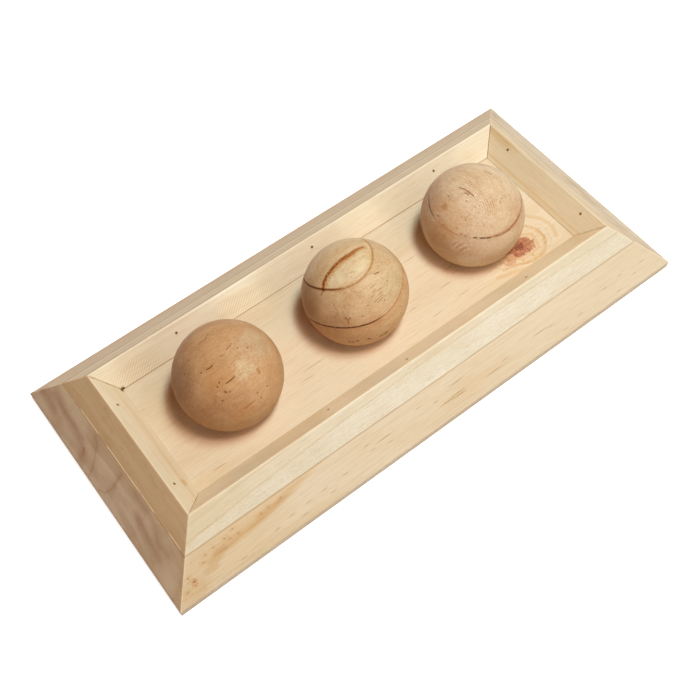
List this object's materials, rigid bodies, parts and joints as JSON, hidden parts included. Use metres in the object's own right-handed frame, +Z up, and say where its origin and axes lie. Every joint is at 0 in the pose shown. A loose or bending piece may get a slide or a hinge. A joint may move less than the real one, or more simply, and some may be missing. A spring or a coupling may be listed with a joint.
{
  "type": "wooden ball tray",
  "caption": "Shallow bevelled pine tray with mitred triangular rails and loose wooden balls standing in round seats along its middle.",
  "frame": {"origin": "on the underside, at the middle of the tray", "axes": "+X along the tray's length, +Y across it towards the back rail, +Z up"},
  "size_m": [0.295, 0.136, 0.0605],
  "materials": {
    "board_pine": "planed and sanded pine, unfinished, satin",
    "rail_pine": "planed and sanded pine, unfinished, satin",
    "ball_wood": "turned and sanded pine, unfinished, satin",
    "brad_steel": "plain bright wire, dulled"
  },
  "bodies": {
    "tray": {"base_board": "board_pine", "rail_front": "rail_pine", "rail_right": "rail_pine", "rail_back": "rail_pine", "rail_left": "rail_pine", "brads_front": "brad_steel", "brads_right": "brad_steel", "brads_back": "brad_steel", "brads_left": "brad_steel"},
    "left_ball": {"ball_left": "ball_wood"},
    "middle_ball": {"ball_middle": "ball_wood"},
    "right_ball": {"ball_right": "ball_wood"}
  },
  "joints": [
    {"name": "left_ball_lift", "type": "slide", "parent": "tray", "child": "left_ball", "axis": [0, 0, 1], "range_m": [0, 0.05]},
    {"name": "middle_ball_lift", "type": "slide", "parent": "tray", "child": "middle_ball", "axis": [0, 0, 1], "range_m": [0, 0.05]},
    {"name": "right_ball_lift", "type": "slide", "parent": "tray", "child": "right_ball", "axis": [0, 0, 1], "range_m": [0, 0.05]}
  ]
}
